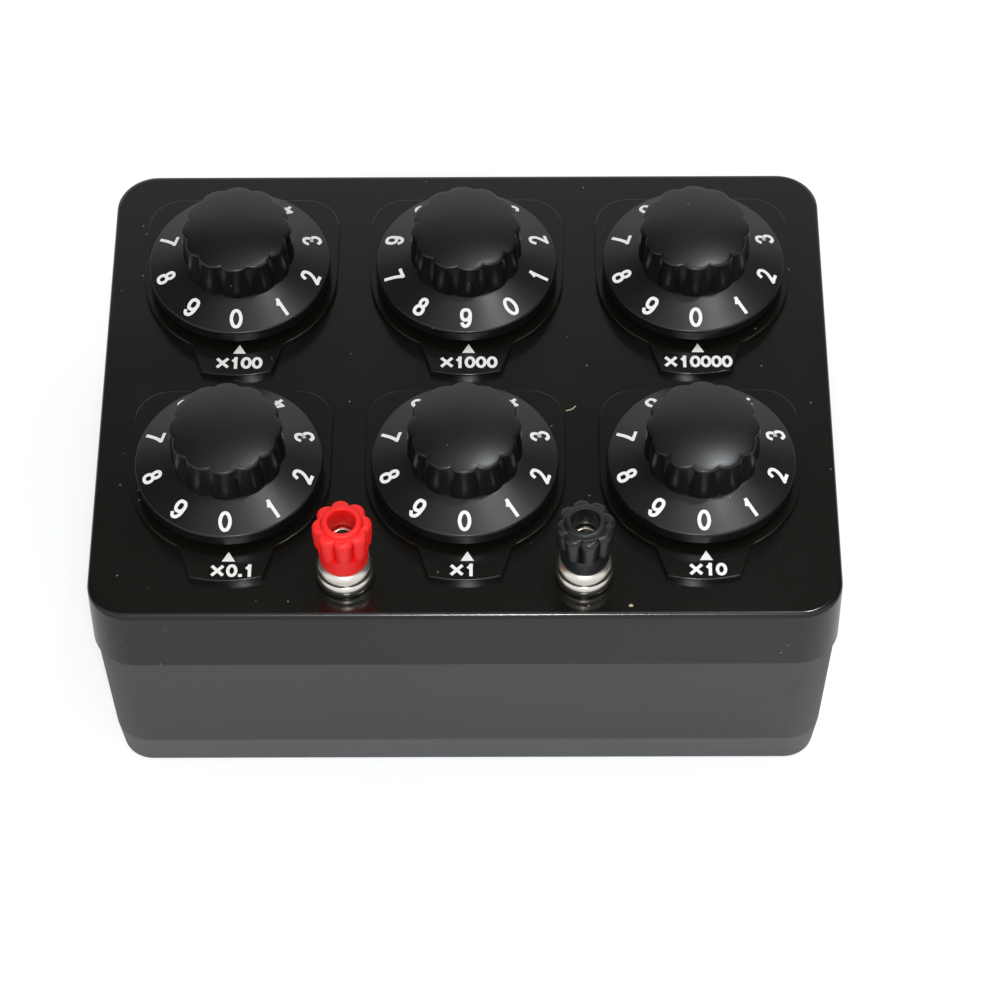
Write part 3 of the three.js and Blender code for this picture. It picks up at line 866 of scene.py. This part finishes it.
def cone_height(reach):
    """Height of the skirt's cone at a distance from the axis."""
    return cone_top - (reach - handle_root) * math.tan(cone_slope)


ring_of_figures = bmesh.new()
for reading in range(10):
    sign = figure(str(reading), narrow_one_size if reading == 1 else figure_size, figure_stroke)
    for vert in sign.verts:
        x, y, lift = vert.co
        away = figure_radius - y * math.cos(cone_slope)
        vert.co = (x, -away, cone_height(math.hypot(x, away)) + lift)
    turn_about(sign, "Z", reading_step * reading)
    ring_of_figures.from_mesh(as_mesh(sign, "figure"))
figures_mesh = as_mesh(ring_of_figures, "figures")
figure_white = plastic(
    "figure_white",
    (0.80, 0.80, 0.78),
    0.45,
    grain_scale=3000.0,
    grain_depth=0.1,
    cloud=0.04,
    speck_colour=(0.45, 0.44, 0.42, 1.0),
    speck_share=0.05,
)
for name in dial_bodies:
    piece = finished(placed_dial(figures_mesh, name), name.replace("dial", "figures"), figure_white)
    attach(piece, name)

# Pointers and multipliers
# On each plate's tab, printed in the same white: a small triangle that points at the reading, and
# the value of one step, such as x100. The back row is printed a little nearer to the dials.
label_marks = {
    "dial_x0_1": [("x", -1.75), ("0", 1.4), (".", 3.25), ("1", 5.1)],
    "dial_x1": [("x", -1.75), ("1", 1.2)],
    "dial_x10": [("x", -1.75), ("1", 1.15), ("0", 3.75)],
    "dial_x100": [("x", -3.2), ("1", -0.35), ("0", 2.2), ("0", 4.65)],
    "dial_x1000": [("x", -4.4), ("1", -1.55), ("0", 0.9), ("0", 3.4), ("0", 5.9)],
    "dial_x10000": [("x", -5.65), ("1", -2.7), ("0", -0.1), ("0", 2.3), ("0", 4.7), ("0", 7.1)],
}
mark_sizes = {"x": (2.7, 2.7), "0": (2.3, 3.3), "1": (1.75, 3.3), ".": (0.85, 0.75)}
mark_stroke = 0.74
point_drop = (mark_sizes["0"][1] - mark_sizes["."][1]) / 2
back_row_y = (-25.15, -20.0)
front_row_y = (-26.0, -21.1)
pointer_tip_x = 0.55
pointer_sides_x = (-0.9, 2.0)
pointer_length = 2.5
for name in dial_bodies:
    place = dial_places[name]
    label_y, pointer_y = back_row_y if place.y > 0 else front_row_y
    label = bmesh.new()
    for mark, x in label_marks[name]:
        shape = figure(mark, mark_sizes[mark], mark_stroke)
        drop = point_drop if mark == "." else 0
        move(shape, (x, label_y - drop, 0))
        label.from_mesh(as_mesh(shape, "mark"))
    pointer = bmesh.new()
    corners = [(pointer_tip_x, pointer_y)]
    corners += [(x, pointer_y - pointer_length) for x in pointer_sides_x]
    pointer.faces.new([pointer.verts.new((*corner, -print_sink)) for corner in corners])
    thicken(pointer, print_rise + print_sink)
    label.from_mesh(as_mesh(pointer, "pointer"))
    move(label, (place.x, place.y, panel_top + plate_rise))
    piece = finished(label, name.replace("dial", "label"), figure_white)
    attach(piece, "case")

# Terminal posts
# Each post is a nickel-plated stud with a flange on the cover's boss, a nickel collar that rises off
# the flange, and a coloured plastic cap that turns on the collar's sleeve, open on top for a plug.
post_steps = 72
stud_radius = 3
stud_foot = -9.6
stud_top = 14.3
stud_rounding = 0.15
socket_radius = 2.05
socket_foot = 0.3
flange_radius = 6.3
flange_under = 0.95
flange_top = 3.3
flange_rounding = 1.5
flange_foot_rounding = 0.25
sleeve_bore = 3.3
sleeve_radius = 3.9
sleeve_top = 11.2
collar_radius = 6.2
collar_under = 3.6
collar_top = 6.6
collar_rounding = 2.1
collar_foot_rounding = 0.3
cap_lobes = 8
cap_lobe_steps = 24
cap_radius = 6.45
cap_flute = 1.8
crown_flute = 1.05
neck_foot = 6.9
neck_top = 12.2
neck_foot_radius = 5.3
neck_top_radius = 5.6
neck_rounding = 0.3
head_foot_edge = [(1.0, 11.8), (0.3, 12.5)]
head_straight_top = 16.6
head_shoulder = 18.5
head_rounding = 1.1
cap_lip_foot = 19.1
cap_lip_wall_top = 19.6
cap_lip_top = 20.5
cap_lip_radius = 4.5
cap_lip_rim_radius = 4.15
cap_lip_rounding = 0.35
well_foot = 5.9
well_foot_radius = 4.2
well_step = 11.5
well_throat = 14.6
well_radius = 3.0
well_throat_slope = 0.3
well_mouth = [(0, 20.1), (0.1, 20.35), (0.4, 20.6)]
cap_turns = {"red": math.radians(5), "black": math.radians(10)}
metal_dull_share = 0.86
metal_bright_share = 1.08
metal_spread = 0.25


def metal(name, colour, roughness, rings=2600.0, depth=0.06):
    """Turned metal with fine tool rings, slightly cloudy with handling."""
    material, tree, shader = new_material(name)
    shader.inputs["Metallic"].default_value = 1.0
    place = node(tree, "ShaderNodeTexCoord").outputs["Object"]
    skin = node(
        tree,
        "ShaderNodeGroup",
        {"Vector": place, "Grain Scale": 900.0, "Cloud Scale": 160.0},
        node_tree=moulded_skin,
    )
    dull, bright = shaded(colour, metal_dull_share), shaded(colour, metal_bright_share)
    tone = mixed(tree, skin.outputs["Cloud"], dull, bright)
    patchy = node(
        tree,
        "ShaderNodeMapRange",
        {
            "Value": skin.outputs["Grain"],
            "To Min": roughness * (1 - metal_spread),
            "To Max": roughness * (1 + metal_spread),
        },
    )
    stretched = node(tree, "ShaderNodeMapping", {"Vector": place, "Scale": (60.0, 60.0, rings)})
    tool_rings = node(
        tree,
        "ShaderNodeTexNoise",
        {"Vector": stretched.outputs["Vector"], "Scale": 1.0, "Detail": 2.0},
    )
    bump = node(
        tree,
        "ShaderNodeBump",
        {"Strength": depth, "Distance": bump_distance, "Height": tool_rings.outputs["Fac"]},
    )
    tree.links.new(tone, shader.inputs["Base Color"])
    tree.links.new(patchy.outputs["Result"], shader.inputs["Roughness"])
    tree.links.new(bump.outputs["Normal"], shader.inputs["Normal"])
    return material


nickel = metal("nickel", (0.84, 0.79, 0.70), 0.25)
cap_red = plastic(
    "cap_red",
    (0.82, 0.007, 0.005),
    0.42,
    grain_scale=2200.0,
    grain_depth=0.08,
    speck_share=0.02,
)
cap_black = plastic(
    "cap_black", (0.008, 0.0083, 0.0085), 0.3, grain_scale=2200.0, grain_depth=0.08
)


def cap_ring(verts, inset, flute, height):
    """One level of the cap's head, drawn in all round by the inset and with flutes of the given depth."""
    reach = lobe_maker(cap_radius - inset, cap_radius - inset - flute, cap_lobes)
    for vert in verts:
        way = math.atan2(vert.co.y, vert.co.x)
        far = reach(way)
        vert.co = (far * math.cos(way), far * math.sin(way), height)


def post_stud():
    """Flange, threaded stud and the 4 mm socket down its top."""
    bm = turned(
        [
            (0, stud_foot),
            (stud_radius, stud_foot),
            (stud_radius, flange_under),
            (flange_radius, flange_under),
            (flange_radius, flange_top),
            (stud_radius, flange_top),
            (stud_radius, stud_top),
            (socket_radius, stud_top),
            (socket_radius, socket_foot),
            (0, socket_foot),
        ],
        post_steps,
    )
    round_off(bm, [(flange_radius, flange_top)], flange_rounding, 8)
    round_off(bm, [(flange_radius, flange_under)], flange_foot_rounding, 3)
    round_off(bm, [(stud_radius, stud_top), (socket_radius, stud_top)], stud_rounding, 2)
    return bm


def post_collar():
    """Collar with its rounded shoulder, and the sleeve inside the cap."""
    bm = turned(
        [
            (sleeve_bore, collar_under),
            (collar_radius, collar_under),
            (collar_radius, collar_top),
            (sleeve_radius, collar_top),
            (sleeve_radius, sleeve_top),
            (sleeve_bore, sleeve_top),
            (sleeve_bore, collar_under),
        ],
        post_steps,
    )
    round_off(bm, [(collar_radius, collar_top)], collar_rounding, 10)
    round_off(bm, [(collar_radius, collar_under)], collar_foot_rounding, 3)
    return bm


def post_cap(turn):
    """Plain neck, fluted head, and the well with its raised lip."""
    neck = turned(
        [(0, neck_foot), (neck_foot_radius, neck_foot), (neck_top_radius, neck_top), (0, neck_top)]
    )
    round_off(neck, [(neck_foot_radius, neck_foot)], neck_rounding, 3)
    levels = [(inset, cap_flute, height) for inset, height in head_foot_edge]
    for share in (0, 0.4, 0.7):
        flute = cap_flute - (cap_flute - crown_flute) * share**2
        levels.append((0, flute, head_straight_top + (head_shoulder - head_straight_top) * share))
    levels += [
        (inset, crown_flute, height) for inset, height in fillet(0, head_shoulder, head_rounding)
    ]
    head = lobed_disc(cap_lobes, cap_lobe_steps)
    raised(head, head.faces[:][0], levels, cap_ring)
    lip = turned(
        [
            (0, cap_lip_foot),
            (cap_lip_radius, cap_lip_foot),
            (cap_lip_radius, cap_lip_wall_top),
            (cap_lip_rim_radius, cap_lip_top),
            (0, cap_lip_top),
        ]
    )
    round_off(lip, [(cap_lip_rim_radius, cap_lip_top)], cap_lip_rounding)
    well = turned(
        [
            (0, well_foot),
            (well_foot_radius, well_foot),
            (well_foot_radius, well_step),
            (sleeve_bore, well_step),
            (sleeve_bore, well_throat),
            (well_radius, well_throat + well_throat_slope),
            *[(well_radius + outwards, height) for outwards, height in well_mouth],
            (0, well_mouth[-1][1]),
        ]
    )
    cap = combined(neck, head, "UNION")
    cap = combined(cap, lip, "UNION")
    cap = combined(cap, well, "DIFFERENCE")
    turn_about(cap, "Z", turn)
    return cap


for name, finish in (("red", cap_red), ("black", cap_black)):
    parts = (
        ("stud", post_stud(), nickel, "case", "nickel"),
        ("collar", post_collar(), nickel, name + "_collar", "nickel"),
        ("cap", post_cap(cap_turns[name]), finish, name + "_cap", "cap_" + name),
    )
    for part, bm, material, body, slot in parts:
        move(bm, post_places[name])
        piece = finished(bm, f"{name}_{part}", material)
        settle(piece, body, slot, f"{name}_post_{part}")

# Lint
# A short curled thread and a crumb of dust that lie on the panel, held by nothing but their own
# weight: pale tan fluff, drawn as a thin bent tube and a flattened ball.
thread_radius = 0.16
thread_bend_radius = 2.6
thread_bend = math.radians(58)
thread_turn = math.radians(-89)
thread_place = (22.5, -4.65, panel_top + 0.15)
crumb_radius = 0.38
crumb_shape_shares = (1.3, 1, 0.5)
crumb_place = (36.1, -59.8, panel_top + 0.1)
lint_tan = plastic(
    "lint_tan", (0.42, 0.36, 0.24), 0.8, grain_scale=4000.0, grain_depth=0.4, cloud=0.3
)
thread = bmesh.new()
bmesh.ops.create_circle(thread, cap_ends=True, segments=10, radius=thread_radius)
turn_about(thread, "X", math.pi / 2)
move(thread, (thread_bend_radius, 0, 0))
bmesh.ops.spin(
    thread, geom=thread.faces[:], cent=(0, 0, 0), axis=(0, 0, 1), angle=thread_bend, steps=12
)
bmesh.ops.recalc_face_normals(thread, faces=thread.faces)
turn_about(thread, "Z", thread_turn)
move(thread, thread_place)
crumb = bmesh.new()
bmesh.ops.create_uvsphere(crumb, u_segments=16, v_segments=8, radius=crumb_radius)
bmesh.ops.scale(crumb, vec=crumb_shape_shares, verts=crumb.verts)
move(crumb, crumb_place)
for part, bm in (("lint_thread", thread), ("lint_crumb", crumb)):
    piece = finished(bm, part, lint_tan)
    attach(piece, "case")

# Inside the case
# Switches, resistors, wiring and screws keep their solid shapes, and each gets the finish of its
# own stuff: zinc-plated steel, nickel, phenolic board, enamelled resistors and grey insulation.
zinc_steel = metal("zinc_steel", (0.50, 0.50, 0.49), 0.38, rings=900.0, depth=0.1)
phenolic = plastic(
    "phenolic", (0.15, 0.07, 0.027), 0.55, grain_scale=700.0, grain_depth=0.3, cloud=0.3
)
resistor_film = plastic("resistor_film", (0.08, 0.23, 0.38), 0.42, grain_scale=1500.0, cloud=0.25)
wire_insulation = plastic(
    "wire_insulation", (0.27, 0.29, 0.30), 0.5, grain_scale=2400.0, cloud=0.15
)
inner_finishes = {
    "case_screw": (zinc_steel, "zinc_steel"),
    "grub_screw": (zinc_steel, "zinc_steel"),
    "switch_shaft": (nickel, "nickel"),
    "panel_nut": (nickel, "nickel"),
    "switch_body": (zinc_steel, "zinc_steel"),
    "contact_wafer": (phenolic, "phenolic"),
    "resistor_chain": (resistor_film, "resistor_film"),
    "wiring_harness": (wire_insulation, "wire_insulation"),
    "red_post_lug": (nickel, "nickel"),
    "black_post_lug": (nickel, "nickel"),
    "red_post_nut": (nickel, "nickel"),
    "black_post_nut": (nickel, "nickel"),
}
for name, solid in frame["nodes"].items():
    for start, (finish, slot) in inner_finishes.items():
        if name.startswith(start):
            solid.data.materials.clear()
            solid.data.materials.append(finish)

# Floor, room and lamps
# A white table that runs on to a white backdrop. Gloss mirrors a room that is bright in front and
# behind and dark above, but for a soft patch over the box. One lamp hangs almost overhead, a little
# to the right, and a small one stands by the camera.
floor_half = 4000
floor_mesh = bmesh.new()
bmesh.ops.create_grid(floor_mesh, x_segments=1, y_segments=1, size=floor_half)
floor_finish, floor_tree, floor_shader = new_material("floor_white")
floor_shader.inputs["Roughness"].default_value = 0.9
floor_shader.inputs["Specular IOR Level"].default_value = 0.0
floor_place = node(floor_tree, "ShaderNodeTexCoord").outputs["Object"]
floor_grain = node(floor_tree, "ShaderNodeTexNoise", {"Vector": floor_place, "Scale": 6.0})
floor_tone = mixed(
    floor_tree, floor_grain.outputs["Fac"], (0.58, 0.60, 0.62, 1.0), (0.61, 0.63, 0.65, 1.0)
)
floor_paths = node(floor_tree, "ShaderNodeLightPath").outputs
floor_glow = maths(floor_tree, "MULTIPLY", floor_paths["Is Camera Ray"], 0.5)
floor_shader.inputs["Emission Color"].default_value = (1.0, 1.0, 1.0, 1.0)
floor_tree.links.new(floor_tone, floor_shader.inputs["Base Color"])
floor_tree.links.new(floor_glow, floor_shader.inputs["Emission Strength"])
floor = finished(floor_mesh, "floor", floor_finish)

room = bpy.data.worlds.new("room")
scene.world = room
room.use_nodes = True
sky = room.node_tree
direction = node(sky, "ShaderNodeTexCoord").outputs["Generated"]
to_back = node(sky, "ShaderNodeSeparateXYZ", {"Vector": direction}).outputs["Y"]
far_share = node(sky, "ShaderNodeMapRange", {"Value": to_back, "From Min": -1.0})
sweep = node(sky, "ShaderNodeValToRGB", {"Fac": far_share.outputs["Result"]})
stops = sweep.color_ramp.elements
stops[0].position, stops[0].color = 0.33, (0.9, 0.92, 0.94, 1.0)
stops[1].position, stops[1].color = 0.87, (0.97, 0.97, 0.95, 1.0)
for position, level in ((0.43, 0.3), (0.48, 0.10), (0.755, 0.08), (0.804, 0.11), (0.826, 0.68)):
    stops.new(position).color = (level, level, level * 0.95, 1.0)
patch_way = Vector((0.06, 0.04, 1)).normalized()
near_patch = node(
    sky, "ShaderNodeVectorMath", {0: direction, 1: patch_way}, operation="DOT_PRODUCT"
)
patch = node(
    sky,
    "ShaderNodeMapRange",
    {"Value": near_patch.outputs["Value"], "From Min": 0.905, "From Max": 1.0, "To Max": 0.85},
    interpolation_type="SMOOTHSTEP",
)
ceiling = mixed(sky, 1.0, sweep.outputs["Color"], patch.outputs["Result"], "ADD")
from_front = node(
    sky, "ShaderNodeMapRange", {"Value": to_back, "From Min": -1.0, "To Min": 1.15, "To Max": 0.42}
)
sky_paths = node(sky, "ShaderNodeLightPath").outputs
mirrored = mixed(sky, sky_paths["Is Glossy Ray"], from_front.outputs["Result"], ceiling)
shown = mixed(sky, sky_paths["Is Camera Ray"], mirrored, (1.0, 1.0, 1.0, 1.0))
sky.links.new(shown, sky.nodes["Background"].inputs["Color"])


def hang(name, kind, place, aim, watts, colour, **settings):
    """A lamp at a place, turned to what it lights."""
    light = bpy.data.lights.new(name, kind)
    light.energy = watts
    light.color = colour
    for key, value in settings.items():
        setattr(light, key, value)
    hung = bpy.data.objects.new(name, light)
    scene.collection.objects.link(hung)
    hung.matrix_world = Matrix.Translation(place) @ (
        (Vector(aim) - Vector(place)).to_track_quat("-Z", "Y").to_matrix().to_4x4()
    )


lamp_way = Vector((0.186, 0.147, 0.971)).normalized()
hang(
    "overhead",
    "SPOT",
    place=lamp_way * 2.5 + Vector((0.05, 0, 0)),
    aim=(0.10, -0.11, 0.07),
    watts=78,
    colour=(0.93, 0.97, 1.0),
    shadow_soft_size=0.1,
    spot_size=math.radians(9.9),
    spot_blend=1.0,
)
hang(
    "beside_camera",
    "AREA",
    place=camera_place + Vector((0, -0.02, 0.05)),
    aim=(0, 0, 0.06),
    watts=2.2,
    colour=(1.0, 1.0, 1.0),
    shape="DISK",
    size=0.07,
)
